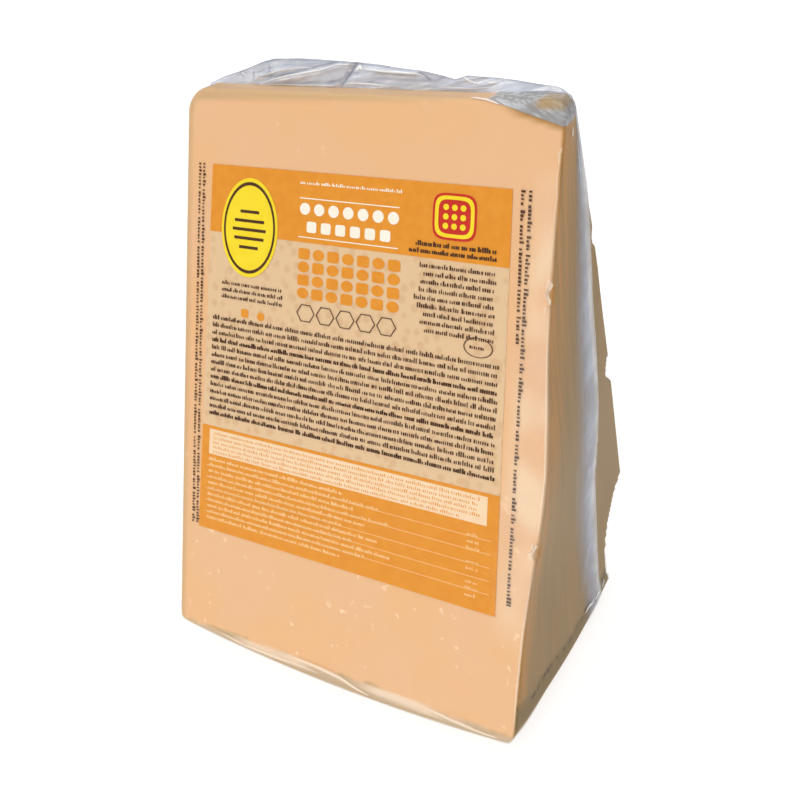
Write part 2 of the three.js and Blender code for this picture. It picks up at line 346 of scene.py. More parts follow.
# The rind's depths: where it starts and is full on the wedge cuts and the outside, the same on
# the halving cut, the dark line inside it there, and how far they all wander.
RIND_DEEP, RIND_FULL_DEEP, CUT_RIND_DEEP, CUT_RIND_FULL_DEEP = 2.6, 0.8, 14.0, 8
RIND_LINE_DEEP, RIND_LINE_WIDE, RIND_WANDER = 10.0, 2.2, 6
clouds = ramp(tree, noise_at(tree, place, CLOUD_MM), 0.35, 0.65)
paste = blend_colour(tree, clouds, "#ECBA88", "#EBBC8F")
flecks = ramp(tree, noise_at(tree, place, FLECK_MM, 1), 0.66, 0.80)
paste = blend_colour(tree, maths(tree, "MULTIPLY", flecks, painted(tree, "flecked")), paste, "#F9D4AB")
# Painted highlight in blotches along the front's right edge.
paste = blend_colour(tree, painted(tree, "pale"), paste, "#F7DAB4")
# Painted shade on the tip's narrow top and along the front's left edge.
paste = blend_colour(tree, painted(tree, "tip_and_edge_shade"), paste, "#D1AC80")

split = add(tree, "SeparateXYZ", {"Vector": place})
under_axis = maths(tree, "SUBTRACT", AXIS_HEIGHT / 1000, split.outputs["Z"])
flat = add(tree, "CombineXYZ", {"X": split.outputs["Y"], "Y": under_axis})
from_axis = add(tree, "VectorMath", {0: flat.outputs["Vector"]}, operation="LENGTH")
wander = maths(tree, "SUBTRACT", noise_at(tree, place, WANDER_MM, 3), 0.5)
wander = maths(tree, "MULTIPLY_ADD", wander, RIND_WANDER / 1000, from_axis.outputs["Value"])
rind_share = ramp(
    tree, wander, (WHEEL_RADIUS - RIND_DEEP) / 1000, (WHEEL_RADIUS - RIND_FULL_DEEP) / 1000)
paste = blend_colour(tree, rind_share, paste, "#BE9E70")
# Painted highlight in the fold along the front's foot.
paste = blend_colour(tree, painted(tree, "fold"), paste, "#F6DDC0")

# The halving cut, with faint lines where the wire dragged down it. Its paste, rind and the dark
# line in its rind are in darker, browner tones of painted shade, more orange near its front edge.
drawn_out = add(tree, "VectorMath", {0: place, 1: DRAG_STRETCH}, operation="MULTIPLY")
drag = ramp(tree, noise_at(tree, drawn_out.outputs["Vector"], DRAG_MM, 3), 0.3, 0.7)
shaded_cut_paste = blend_colour(tree, painted(tree, "shade_to_back"), "#C58C44", "#A5834F")
shaded_cut_paste = blend_colour(tree, maths(tree, "MULTIPLY", drag, DRAG_SHARE), shaded_cut_paste, "#8C7548")
cut_rind = ramp(
    tree, wander, (WHEEL_RADIUS - CUT_RIND_DEEP) / 1000, (WHEEL_RADIUS - CUT_RIND_FULL_DEEP) / 1000)
shaded_cut_paste = blend_colour(tree, cut_rind, shaded_cut_paste, "#876D38")
line_off = maths(tree, "SUBTRACT", wander, (WHEEL_RADIUS - RIND_LINE_DEEP) / 1000)
rind_line = ramp(tree, maths(tree, "ABSOLUTE", line_off), RIND_LINE_WIDE / 1000, 0.0)
mottles = ramp(tree, noise_at(tree, place, MOTTLE_MM, 3), 0.45, 0.6)
shaded_cut_paste = blend_colour(tree, maths(tree, "MULTIPLY", rind_line, mottles), shaded_cut_paste, "#5E4528")
# The halving cut takes that painted shade.
paste = blend_colour(tree, painted(tree, "cut"), paste, shaded_cut_paste)
# Ochre painted shade where the tip broke, and a painted shadow line under the gathered film.
paste = blend_colour(tree, painted(tree, "break_shade"), paste, "#BC8F50")
grains = add(tree, "Bump", {
    "Strength": 0.2, "Distance": 0.0004, "Height": noise_at(tree, place, GRAIN_MM, 4, 0.6)})
shader = add(tree, "BsdfPrincipled", {
    "Base Color": paste, "Roughness": 0.6, "IOR": 1.45, "Specular IOR Level": 0.05,
    "Normal": grains.outputs["Normal"]})
end_in(tree, shader)

bare_points, wedge_quads = wedge_skin(CHEESE_INSIDE_FILM)
bare_points = soften(bare_points, CHEESE_INSIDE_FILM)
bare_points[:, 2] = np.minimum(bare_points[:, 2], AXIS_HEIGHT - CHEESE_INSIDE_FILM)
above, break_normal = above_break(bare_points)
break_depth = np.maximum(above + CHEESE_INSIDE_FILM, 0)
cheese_points = sink(bare_points - break_depth[:, None] * break_normal, CHEESE_INSIDE_FILM)
pressed = np.linalg.norm(cheese_points - bare_points, axis=1)

# Where it is chipped or broken it crumbles slightly: how far, the sizes of the crumbs, and how
# deep the break is where it crumbles fully.
CRUMBLE, CRUMB_SIZES, CRUMBLE_FULL_DEEP = 0.15, (2.6, 6.0), 3
crumble = sum(grown(cheese_points, size, CRUMBLE, seed) for seed, size in enumerate(CRUMB_SIZES, 1))
cheese_points[:, 0] -= np.minimum(pressed / CRUMBLE_FULL_DEEP, 1) * np.maximum(crumble, 0)
cheese = make_piece("cheese_wedge", cheese_points, wedge_quads, aged_cheese)

# The halving cut is painted browner and darker than the two wedge cuts, as shade, most of all
# away from its front edge and least inside the chips. The tip's narrow top and the front's left
# edge get a little painted shade too. Here and below, a pair is where a tone starts and where it
# is full.
CUT_SKIN, CHIP_DEPTHS, CHIP_UNSHADED = (-1.1, -0.3), (0.0, 0.6), 0.8
SHADE_BACK_FROM, SHADE_BACK_FULL, SHADE_BACK_FULL_LESS, SHADE_BACK_LESS_DEPTHS = 1.0, 21.0, 9.0, (90, 140)
FLECKED_LEAST, FLECKED_MORE, FLECKED_DEPTHS = 0.25, 0.75, (90, 150)
SHADE_TOP_DEPTH, SHADE_TOP_SLOPE, SHADE_TOP_OVER, SHADE_TOP_UNDER = 19.9, 0.03, 0.9, 1.0
SHADE_LEFT, SHADE_LEFT_SHARE = (3.2, 1.6), 0.9
x, y, depth = bare_points.T
back_share = y / (depth * math.tan(HALF_ANGLE))
unshaded_chip = smooth(*CHIP_DEPTHS, pressed) * (y < 0) * (break_depth <= 0)
paint(cheese, "cut", smooth(*CUT_SKIN, x - side_reach(1, y, depth)) * (1 - CHIP_UNSHADED * unshaded_chip))
shade_back_full = SHADE_BACK_FULL - SHADE_BACK_FULL_LESS * smooth(*SHADE_BACK_LESS_DEPTHS, depth)
paint(cheese, "shade_to_back", smooth(SHADE_BACK_FROM, shade_back_full, y + depth * math.tan(HALF_ANGLE)))
paint(cheese, "flecked", FLECKED_LEAST + FLECKED_MORE * smooth(*FLECKED_DEPTHS, depth))
# Painted shade on the tip's narrow top and along the front's left edge.
shade_top_to = SHADE_TOP_DEPTH - SHADE_TOP_SLOPE * x
shade_top = smooth(shade_top_to + SHADE_TOP_UNDER, shade_top_to - SHADE_TOP_OVER, depth)
left_round = CORNERS[0][2]
short_of_round = np.clip(TIP_DEPTH + left_round - depth, 0, left_round)
left_limit = left_round - np.sqrt(left_round ** 2 - short_of_round ** 2) - side_reach(-1, y, depth)
shade_left = smooth(*SHADE_LEFT, x - left_limit)
paint(cheese, "tip_and_edge_shade", np.maximum(shade_top, SHADE_LEFT_SHARE * shade_left))

# Painted highlight: in blotches along the front's right edge, and along the fold at its foot, a
# little all along and more in two stretches.
STRIP_X, STRIP_TOP, STRIP_FOOT, STRIP_HIGHLIGHT = (51, 59), (30, 50), (165, 140), 0.75
BLOTCH_MM, BLOTCH_CONTRAST, ON_WEDGE_CUT = 11.0, 1.5, (-0.9, -0.97)
FOLD_TOP, FOLD_END, FOLD_TURN = (193.7, 194.6), (197.6, 196.2), (-0.3, -0.8)
FOLD_HIGHLIGHT, FOLD_HIGHLIGHT_MORE, HIGHLIGHT_STRETCHES = 0.2, 0.7, (((-42, -30), (-4, -14)), ((8, 18), (44, 34)))
blotches = np.clip(0.5 + grown(cheese_points, BLOTCH_MM, BLOTCH_CONTRAST, 6), 0, 1)
edge_strip = smooth(*STRIP_X, x) * smooth(*STRIP_TOP, depth) * smooth(*STRIP_FOOT, depth)
paint(cheese, "pale", STRIP_HIGHLIGHT * edge_strip * blotches * smooth(*ON_WEDGE_CUT, back_share))
reach = np.hypot(y, depth)
in_fold = smooth(*FOLD_TOP, reach) * smooth(*FOLD_END, reach) * smooth(*FOLD_TURN, back_share)
stretches = sum(smooth(*start, x) * smooth(*end, x) for start, end in HIGHLIGHT_STRETCHES)
paint(cheese, "fold", in_fold * (FOLD_HIGHLIGHT + FOLD_HIGHLIGHT_MORE * stretches))

# Ochre painted shade where the tip broke, and a thin line of the same ochre as a painted shadow
# on the front, under the gathered film's lower edge.
BREAK_DEPTHS, SHADOW_LINE_SHARE = (0, 0.8), 0.85
SHADOW_LINE_X, SHADOW_LINE_UNDER, SHADOW_LINE_OVER = (43, 50), (-2.2, -0.9), (0.8, 0.2)
over_line = np.interp(x, GATHER_X, GATHER_DEPTHS) - depth
shadow_line = smooth(*SHADOW_LINE_UNDER, over_line) * smooth(*SHADOW_LINE_OVER, over_line)
shadow_line *= smooth(*SHADOW_LINE_X, x)
paint(cheese, "break_shade", np.maximum(smooth(*BREAK_DEPTHS, break_depth), SHADOW_LINE_SHARE * shadow_line))


# ---- The print on the film ------------------------------------------------------------------
# Gravure ink on the bag's inner side, in flat fields of orange, cream and brown on a faintly
# tinted ground, with plain shapes and rows of short strokes. It dries to a thin, even skin.

LABEL_TOP_REACH, LABEL_HEIGHT = 40.7, 117.9
LABEL_TOP_LEFT, LABEL_BOTTOM_LEFT = -50.1, -54.7
LABEL_TOP_WIDTH, LABEL_BOTTOM_WIDTH = 98.7, 108.9

# How far inside the film each ink lies, from the outermost to the ground.
FINE_INSET, MARK_INSET, BADGE_INSET, PALE_INSET, FIELD_INSET, GROUND_INSET = (
    0.05, 0.08, 0.12, 0.16, 0.20, 0.24)
INK_THICK = 0.02


def on_label(across, down, inset):
    """Shares across and down the label to x, y and depth, that far inside the film."""
    left = LABEL_TOP_LEFT + (LABEL_BOTTOM_LEFT - LABEL_TOP_LEFT) * down
    width = LABEL_TOP_WIDTH + (LABEL_BOTTOM_WIDTH - LABEL_TOP_WIDTH) * down
    y, depth = on_face(-1, LABEL_TOP_REACH + LABEL_HEIGHT * down, inset)
    return left + width * across, y, depth


def print_piece(name, shapes, inset, material):
    """Thin ink on the film from flat shapes, each a list of points in shares of the label."""
    points, faces = [], []
    for shape in shapes:
        start = len(points)
        points += [on_label(across, down, inset) for across, down in shape]
        faces.append(tuple(range(start, start + len(shape))))
    piece = make_piece(name, points, faces, material, rounded=False)
    ink = piece.modifiers.new("ink", "SOLIDIFY")
    ink.thickness = INK_THICK / 1000
    return piece


def block(left, top, right, bottom):
    """A rectangle in shares of the label."""
    return [(left, bottom), (right, bottom), (right, top), (left, top)]


def oval(centre, wide, high, steps=40, power=2.0):
    """A shape round a centre: an oval, or with a high power a rectangle with soft corners."""
    shape = []
    for i in range(steps):
        cos, sin = math.cos(2 * math.pi * i / steps), math.sin(2 * math.pi * i / steps)
        size = (abs(cos) ** power + abs(sin) ** power) ** (-1 / power)
        shape.append((centre[0] + wide * size * cos, centre[1] - high * size * sin))
    return shape[::-1]


def ring_of(shape, centre, inner):
    """A band between a shape and the same shape drawn smaller round a centre, as quads."""
    small = [(centre[0] + (a - centre[0]) * inner, centre[1] + (d - centre[1]) * inner)
             for a, d in shape]
    count = len(shape)
    return [[shape[i], shape[(i + 1) % count], small[(i + 1) % count], small[i]]
            for i in range(count)]


# Strokes stand for small print. In shares of the label: the pitch, and a column's pitch. Then
# how many stand in a group, the gap after it in pitches, how tall they are, and how wide in
# three weights.
dice = np.random.default_rng(7)
STROKE_PITCH = 0.0064
COLUMN_PITCH = STROKE_PITCH * 1.35
GROUP_SIZES, GROUP_GAPS = (3, 11), (0.4, 0.9)
STROKE_HEIGHTS = (0.5, 0.6, 0.62, 0.65, 0.68, 0.95)
THIN, LIGHT, BOLD = (0.3, 0.5), (0.38, 0.76), (0.6, 0.95)


def strokes(start, end, weight=LIGHT, pitch=STROKE_PITCH):
    """Short strokes in groups with gaps: where each starts and ends, and its share of height."""
    places, at = [], start
    while at < end - pitch:
        for _ in range(int(dice.integers(*GROUP_SIZES))):
            wide = pitch * dice.uniform(*weight)
            places.append((at, min(at + wide, end), dice.choice(STROKE_HEIGHTS)))
            at += pitch
            if at > end - pitch:
                break
        at += pitch * dice.uniform(*GROUP_GAPS)
    return places


def row_of_strokes(start, end, top, height, weight=LIGHT):
    """Blocks that stand on one line, from start to end across the label."""
    return [block(a, top + height * (1 - tall), b, top + height)
            for a, b, tall in strokes(start, end, weight)]


def column_of_strokes(top, bottom, left_at_top, left_at_bottom, wide):
    """A row turned to run down the label, on a line that may slant."""
    shapes = []
    for a, b, tall in strokes(top, bottom, LIGHT, COLUMN_PITCH):
        left = left_at_top + (left_at_bottom - left_at_top) * a
        shapes.append(block(left, a, left + wide * tall, b))
    return shapes


def end_in_ink(tree, tone):
    """Solvent ink, satin under the film."""
    end_in(tree, add(tree, "BsdfPrincipled", {
        "Base Color": tone, "Roughness": 0.5, "IOR": 1.5, "Specular IOR Level": 0.1}))


def ink_material(name, colour, second, mottle_mm):
    """One ink, slightly uneven in patches of that size."""
    material, tree, place = new_material(name)
    patches = ramp(tree, noise_at(tree, place, mottle_mm, 3), 0.35, 0.65)
    end_in_ink(tree, blend_colour(tree, patches, colour, second))
    return material


orange_ink = ink_material("orange_gravure_ink", "#E7972F", "#E39129", 3)
cream_ink = ink_material("cream_gravure_ink", "#F8DAB4", "#F6D5AC", 4)
pale_orange_ink = ink_material("pale_orange_gravure_ink", "#F7C98C", "#F6C484", 4)
white_ink = ink_material("white_gravure_ink", "#FDF4E4", "#FAF0DC", 4)
brown_ink = ink_material("brown_gravure_ink", "#4A2C14", "#56361B", 4)
yellow_ink = ink_material("yellow_gravure_ink", "#FADF2E", "#F7D926", 5)
red_ink = ink_material("red_gravure_ink", "#CC2F22", "#C62B1F", 5)

# The ground is a screen of faint dots, drawn 3.4 mm apart, coarse enough to show.
tint_ink, tree, place = new_material("screened_tint_ink")
DOT_MM = 3.4
dots = add(tree, "TexVoronoi", {"Vector": place, "Scale": 1000 / DOT_MM}, feature="F1")
in_dot = ramp(tree, dots.outputs["Distance"], 0.5, 0.2)
end_in_ink(tree, blend_colour(tree, in_dot, "#E4C298", "#DCB68C"))

# Where the upper orange field ends and the lower one starts. A shape's power is how square it is.
UPPER_END, LOWER_TOP = 0.17, 0.697
ROUND, SOFT_SQUARE = 2.0, 6.0
print_piece("print_tinted_ground", [block(0, UPPER_END, 1, LOWER_TOP)], GROUND_INSET, tint_ink)

# The orange fields, a lattice of plain ovals and soft blocks in turn, and one more of each.
LATTICE_COLUMNS, LATTICE_ROWS, LATTICE_AT = 7, 4, (0.352, 0.198)
LATTICE_STEP, LATTICE_SIZE = (0.0505, 0.0325), (0.020, 0.0135)
LONE_SIZE, LONE_BLOCK, LONE_OVAL = (0.014, 0.011), (0.145, 0.372), (0.205, 0.374)
fields = [block(0, 0, 1, UPPER_END), block(0, LOWER_TOP, 1, 1)]
for row in range(LATTICE_ROWS):
    for i in range(LATTICE_COLUMNS):
        power = ROUND if (i + row) % 2 else SOFT_SQUARE
        middle = (LATTICE_AT[0] + i * LATTICE_STEP[0], LATTICE_AT[1] + row * LATTICE_STEP[1])
        fields.append(oval(middle, *LATTICE_SIZE, 32, power))
fields += [oval(LONE_BLOCK, *LONE_SIZE, 24, SOFT_SQUARE), oval(LONE_OVAL, *LONE_SIZE, 24)]
print_piece("print_orange_fields", fields, FIELD_INSET, orange_ink)

# A pale box with five rows of fine marks, and on the lower field eleven rows of uneven length,
# with short ones at the right, and five rules.
CREAM_BOX = (0.029, 0.706, 0.966, 0.778)
RULES, RULE_THICK = (0.812, 0.846, 0.880, 0.914, 0.948), 0.0016
PALE_TOP, PALE_PITCH, NO_SHORT_ROWS = 0.786, 0.0172, (0, 4, 7)
BOXED_TOP, BOXED_PITCH = 0.711, 0.0132
print_piece("print_cream_box", [block(*CREAM_BOX)], PALE_INSET, cream_ink)
pale = [block(0.02, top, 0.98, top + RULE_THICK) for top in RULES]
for row in range(11):
    top = PALE_TOP + row * PALE_PITCH
    pale += row_of_strokes(0.03, 0.52 + 0.04 * (row * 3 % 5), top, 0.0105, BOLD)
    if row not in NO_SHORT_ROWS:
        pale += row_of_strokes(0.91, 0.95, top, 0.0095)
print_piece("print_pale_rows", pale, PALE_INSET, pale_orange_ink)
boxed = []
for row in range(5):
    right = 0.95 - 0.06 * (row == 4)
    boxed += row_of_strokes(0.045, right, BOXED_TOP + row * BOXED_PITCH, 0.009, THIN)
print_piece("print_orange_marks", boxed, BADGE_INSET, orange_ink)

# White on the upper field: a row of strokes, and under it two rows set like bricks between two
# rules. A row's numbers are how many, the first's place, their size and their power.
WHITE_RULES, WHITE_RULE_THICK, WHITE_PITCH = (0.062, 0.156), 0.0025, 0.0495
WHITE_ROWS = ((7, 0.350, 0.0885, 0.018, 0.0145, ROUND), (6, 0.375, 0.1315, 0.017, 0.0135, SOFT_SQUARE))
motif = row_of_strokes(0.33, 0.678, 0.022, 0.008)
motif += [block(0.33, top, 0.665, top + WHITE_RULE_THICK) for top in WHITE_RULES]
for count, left, down, wide, high, power in WHITE_ROWS:
    motif += [oval((left + i * WHITE_PITCH, down), wide, high, 24, power) for i in range(count)]
print_piece("print_white_shapes", motif, PALE_INSET, white_ink)

# An upright yellow badge, and a red one with soft corners, a yellow ring and nine dots.
ROUND_BADGE, ROUND_BADGE_SIZE, ROUND_RING_SIZE = (0.15, 0.152), (0.105, 0.125), (0.096, 0.115)
SQUARE_BADGE, SQUARE_BADGE_SIZE, SQUARE_RING_SIZE = (0.835, 0.072), (0.066, 0.052), (0.059, 0.0465)
SQUARE_BADGE_POWER, BADGE_DOT_STEP, BADGE_DOT_SIZE = 4.5, (0.026, 0.021), (0.0085, 0.007)
print_piece(
    "print_yellow_badge", [oval(ROUND_BADGE, *ROUND_BADGE_SIZE, 64)], BADGE_INSET, yellow_ink)
red_shape = oval(SQUARE_BADGE, *SQUARE_BADGE_SIZE, 48, SQUARE_BADGE_POWER)
print_piece("print_red_badge", [red_shape], BADGE_INSET, red_ink)
red_ring = oval(SQUARE_BADGE, *SQUARE_RING_SIZE, 48, SQUARE_BADGE_POWER)
marks = ring_of(red_ring, SQUARE_BADGE, 0.82)
for i in (-1, 0, 1):
    for j in (-1, 0, 1):
        middle = (SQUARE_BADGE[0] + BADGE_DOT_STEP[0] * i, SQUARE_BADGE[1] + BADGE_DOT_STEP[1] * j)
        marks.append(oval(middle, *BADGE_DOT_SIZE, 16))
print_piece("print_badge_marks", marks, MARK_INSET, yellow_ink)

# Brown, on top of all: the yellow badge's ring and its five bars, each down from the badge's
# middle and half as wide as it is long.
BADGE_BARS = ((-0.045, 0.035), (-0.022, 0.055), (0.0, 0.062), (0.022, 0.055), (0.045, 0.035))
BADGE_BAR_THICK = 0.0075
fine = ring_of(oval(ROUND_BADGE, *ROUND_RING_SIZE, 64), ROUND_BADGE, 0.93)
for down, half_long in BADGE_BARS:
    left, top = ROUND_BADGE[0] - half_long, ROUND_BADGE[1] + down
    fine.append(block(left, top, ROUND_BADGE[0] + half_long, top + BADGE_BAR_THICK))

# Rows of strokes under the yellow badge and under the red one, a block with a ragged left edge,
# and the main block across the label, where some rows are bold.
for row in range(3):
    fine += row_of_strokes(0.055, 0.284, 0.292 + row * 0.018, 0.011)
for row in range(2):
    fine += row_of_strokes(0.72 - 0.02 * row, 0.965, 0.131 + row * 0.0165, 0.012, BOLD)
for row in range(9):
    start = 0.71 + 0.06 * float(dice.random())
    fine += row_of_strokes(start, 0.968, 0.180 + row * 0.0188, 0.012)
for row in range(14):
    fine += row_of_strokes(0.025, 0.985, 0.387 + row * 0.0203, 0.013, BOLD if row % 5 == 3 else LIGHT)

# Five hexagon outlines, an outlined oval with a word of strokes in it, and columns of strokes
# down both sides: how far down each starts and ends, its left at top and bottom, and its width.
HEXAGON_AT, HEXAGON_STEP, HEXAGON_SIZE = (0.366, 0.345), 0.068, (0.032, 0.025)
STAMP, STAMP_SIZE = (0.92, 0.358), (0.043, 0.023)
COLUMNS = ((0.0, 1.0, -0.053, -0.026, 0.011), (0.0, 1.0, -0.037, -0.010, 0.011),
           (0.0, 0.34, 1.024, 1.030, 0.013), (0.0, 0.98, 1.046, 1.030, 0.013))
for i in range(5):
    middle = (HEXAGON_AT[0] + HEXAGON_STEP * i, HEXAGON_AT[1])
    fine += ring_of(oval(middle, *HEXAGON_SIZE, 6), middle, 0.90)
fine += ring_of(oval(STAMP, *STAMP_SIZE), STAMP, 0.93)
fine += row_of_strokes(0.895, 0.945, 0.352, 0.010)
for column in COLUMNS:
    fine += column_of_strokes(*column)
print_piece("print_brown_marks", fine, FINE_INSET, brown_ink)


# ---- The film bag ---------------------------------------------------------------------------
# A bag of clear polyamide and polyethylene, about 0.1 mm thick, drawn tight by vacuum. It bridges
# the broken tip, and is hazy where it is stretched over gaps or gathered. Its milk also carries
# painted reflection and highlight.
bag_points = sink(soften(wedge_skin(0)[0], 0), 0)
bag_points[:, 2] = np.minimum(bag_points[:, 2], AXIS_HEIGHT)
x, y, depth = bag_points.T
front_share = 0.5 - y / (2 * depth * math.tan(HALF_ANGLE))
PATCH_MM, PATCH_CONTRAST = 9.0, 0.9
FRONT_FILM, CUT_FILM, TIP_FILM = (0.97, 0.995), (-1.4, -0.4), (1.6, 0.4)
patchy = 0.5 + grown(bag_points, PATCH_MM, PATCH_CONTRAST, 6)
on_front = smooth(*FRONT_FILM, front_share)
on_cut = smooth(*CUT_FILM, x - side_reach(1, y, depth))
on_tip = smooth(*TIP_FILM, depth - TIP_DEPTH)

# On the halving cut a milky blue-grey band, a painted reflection, runs down the film from a soft
# start to a crisp edge, with a painted highlight just inside that edge. Along the front's right
# edge the haze is a painted highlight.
BAND_DEPTHS = (20, 48, 75, 91, 111, 125, 138, 155, 172, 187)
BAND_EDGES = (9.5, 11.5, 12.5, 14.5, 15.6, 15.4, 13.6, 15.9, 17.2, 20.1)
BAND_STARTS = (3.0, -0.5, -3.0, -6.5, -9.0, -9.5, -8.5, -5.2, -1.0, 5.0)
BAND_FULL, BAND_RIM, BAND_CRISP, RIM_HIGHLIGHT = -2.0, -4.2, (0.5, -0.1), 0.45
HIGHLIGHT_X, HIGHLIGHT_TOP = (51, 60), (30, 45)
band_edge = np.interp(depth, BAND_DEPTHS, BAND_EDGES)
band_start = np.interp(depth, BAND_DEPTHS, BAND_STARTS)
band = smooth(band_start, band_edge + BAND_FULL, y) * smooth(*BAND_CRISP, y - band_edge)
band_highlight = smooth(BAND_RIM, BAND_FULL, y - band_edge) * band
# Painted highlight along the front's right edge.
strip = smooth(*HIGHLIGHT_X, x) * smooth(*HIGHLIGHT_TOP, depth) * smooth(*STRIP_FOOT, depth)

# At the tip's right end, above a slanting line, it is gathered into streaks. What is painted
# reaches a little below that line, where the material cuts it off sharply. Near the corner the
# cheese tints them.
GATHER_START_X, GATHER_UNDER = (30, 41), (-2.5, -1.2)
TINTED_X, TINTED_DEPTHS, TINTED_SHARE = (51.5, 54.5), (20.6, 19.4), 0.8
over_line = np.interp(x, GATHER_X, GATHER_DEPTHS) - depth
gather = smooth(*GATHER_UNDER, over_line) * smooth(*GATHER_START_X, x)
tinted = TINTED_SHARE * smooth(*TINTED_X, x) * smooth(*TINTED_DEPTHS, depth)

# Along the foot it hangs in a fold, a little hazy, with a painted cream highlight on it.
FOLD_ON_FRONT = (0.6, 0.9)
BASE_HAZE, BAND_REFLECTION, EDGE_HIGHLIGHT, TIP_HAZE, FOOT_HAZE = 0.01, 0.85, 0.15, 0.10, 0.18
fold = smooth(*FOLD_TOP, np.hypot(y, depth)) * smooth(*FOLD_ON_FRONT, front_share)
haze_and_sheen = BASE_HAZE + BAND_REFLECTION * band * on_cut + EDGE_HIGHLIGHT * strip * on_front
haze_and_sheen += TIP_HAZE * on_tip * (0.6 + 0.8 * patchy) + FOOT_HAZE * fold


def drawn_place(tree, place, tilt, scale):
    """The place, for a noise drawn out along its x by that scale and tilted by those degrees."""
    sockets = {"Vector": place, "Rotation": (0, math.radians(tilt), 0), "Scale": scale}
    return add(tree, "Mapping", sockets, vector_type="TEXTURE").outputs["Vector"]


# Clear film, blown and laminated: almost unseen face on, milky where it is loose or folded, and
# where reflection and highlight are painted: blue-grey, or warm white for painted highlight.
film, tree, place = new_material("clear_vacuum_film")
RIPPLE_MM, CLOUDY_MM = 14, 8
MIRROR_FACE_ON, MIRROR_AT_EDGE, SCHLICK_POWER = 0.01, 0.25, 5
STREAK_TILT, STREAK_SCALE, STREAK_MM = 32, (6, 2, 1), 1.0
GATHERED_HAZE, LINE_SOFT = 0.88, 0.5
patches = ramp(tree, noise_at(tree, place, CLOUDY_MM, 2), 0.3, 0.75)
amount = maths(tree, "MULTIPLY", painted(tree, "haze_and_sheen"), maths(tree, "MULTIPLY_ADD", patches, 0.4, 0.8))
ripple = add(tree, "Bump", {
    "Strength": 0.12, "Distance": 0.0006, "Height": noise_at(tree, place, RIPPLE_MM, 2)})
milk = blend_colour(tree, painted(tree, "highlight_white"), "#C9CCD6", "#F8EEE0")
line_slope = (GATHER_DEPTHS[-1] - GATHER_DEPTHS[0]) / (GATHER_X[-1] - GATHER_X[0])
line_height = AXIS_HEIGHT - GATHER_DEPTHS[0] + line_slope * (GATHER_X[0] + MIDDLE_X)
split = add(tree, "SeparateXYZ", {"Vector": place})
over_line = maths(tree, "MULTIPLY_ADD", split.outputs["X"], line_slope, split.outputs["Z"])
gathered = ramp(tree, over_line, (line_height - LINE_SOFT) / 1000, line_height / 1000)
gathered = maths(tree, "MULTIPLY", gathered, painted(tree, "gathered"))
# The gathered streaks are painted highlight and shade: light and dark tones drawn out along the folds.
drawn = drawn_place(tree, place, STREAK_TILT, STREAK_SCALE)
folds = ramp(tree, noise_at(tree, drawn, STREAK_MM, 4, 0.65), 0.42, 0.72)
folded = blend_colour(tree, folds, "#9D9C9B", "#D2D5DC")
folded = blend_colour(tree, painted(tree, "tawny"), folded, "#B39258")
milk = blend_colour(tree, gathered, milk, folded)
amount = maths(tree, "MAXIMUM", amount, maths(tree, "MULTIPLY", gathered, GATHERED_HAZE))
milky = add(tree, "BsdfDiffuse", {"Color": milk, "Normal": ripple.outputs["Normal"]})
clear = add(tree, "BsdfTransparent", {"Color": linear("#FDFDFD")})
hazed = add(tree, "MixShader", {0: amount, 1: clear.outputs[0], 2: milky.outputs[0]})
gloss = add(tree, "BsdfGlossy", {
    "Color": (1, 1, 1, 1), "Roughness": 0.2, "Normal": ripple.outputs["Normal"]})
slant = add(tree, "LayerWeight", {"Blend": 0.5}).outputs["Facing"]
mirror = maths(tree, "MULTIPLY_ADD", maths(tree, "POWER", slant, SCHLICK_POWER),
               MIRROR_AT_EDGE - MIRROR_FACE_ON, MIRROR_FACE_ON)
end_in(tree, add(tree, "MixShader", {0: mirror, 1: hazed.outputs[0], 2: gloss.outputs[0]}))

MOST_HAZE = 0.92
bag = make_piece("film_bag", bag_points, wedge_quads, film)
paint(bag, "haze_and_sheen", np.clip(haze_and_sheen, 0, MOST_HAZE))
# Warm white where highlight is painted: the front, the foot's fold and the band's rim.
highlight_white = np.maximum(on_front * (1 - gather), fold) + RIM_HIGHLIGHT * band_highlight * on_cut
paint(bag, "highlight_white", np.clip(highlight_white, 0, 1))
paint(bag, "gathered", gather)
paint(bag, "tawny", tinted * np.clip(patchy + 0.5, 0, 1))


# ---- The gathered seal ----------------------------------------------------------------------
# The bag's mouth, heat-sealed and left standing as a thin crumpled fin along the tip's back
# edge. It is the same film, many layers deep, so it looks grey and cloudy.

# The fin's top edge, each point an x and a depth.
EAR_CREST = ((-58.8, 18.9), (-53.5, 16.9), (-46.2, 15.0), (-37.4, 12.2), (-32.5, 11.2), (-24.6, 11.0),
             (-9.9, 11.6), (-1.4, 12.3), (6.3, 12.7), (15.6, 13.5), (22.2, 14.8), (26.7, 15.8),
             (28.6, 14.5), (33.4, 14.9), (38.9, 15.3), (47.5, 16.0), (54.6, 16.6), (57.2, 17.4),
             (58.8, 19.4))
EAR_FROM_EDGE, EAR_ROOT, EAR_LEAST, EAR_LEAN, EAR_CURL = 2.0, 3.0, 0.4, 1.4, 1.5

# The waves in its lean, each a size, the radians from end to end and where it starts. Then how
# fine the fin is, and over how many columns its top edge is evened out.
EAR_WAVES = ((0.7, 17, 0), (0.35, 37, 2))
EAR_COLUMNS, EAR_ROWS, EAR_EVENED = 260, 26, 7

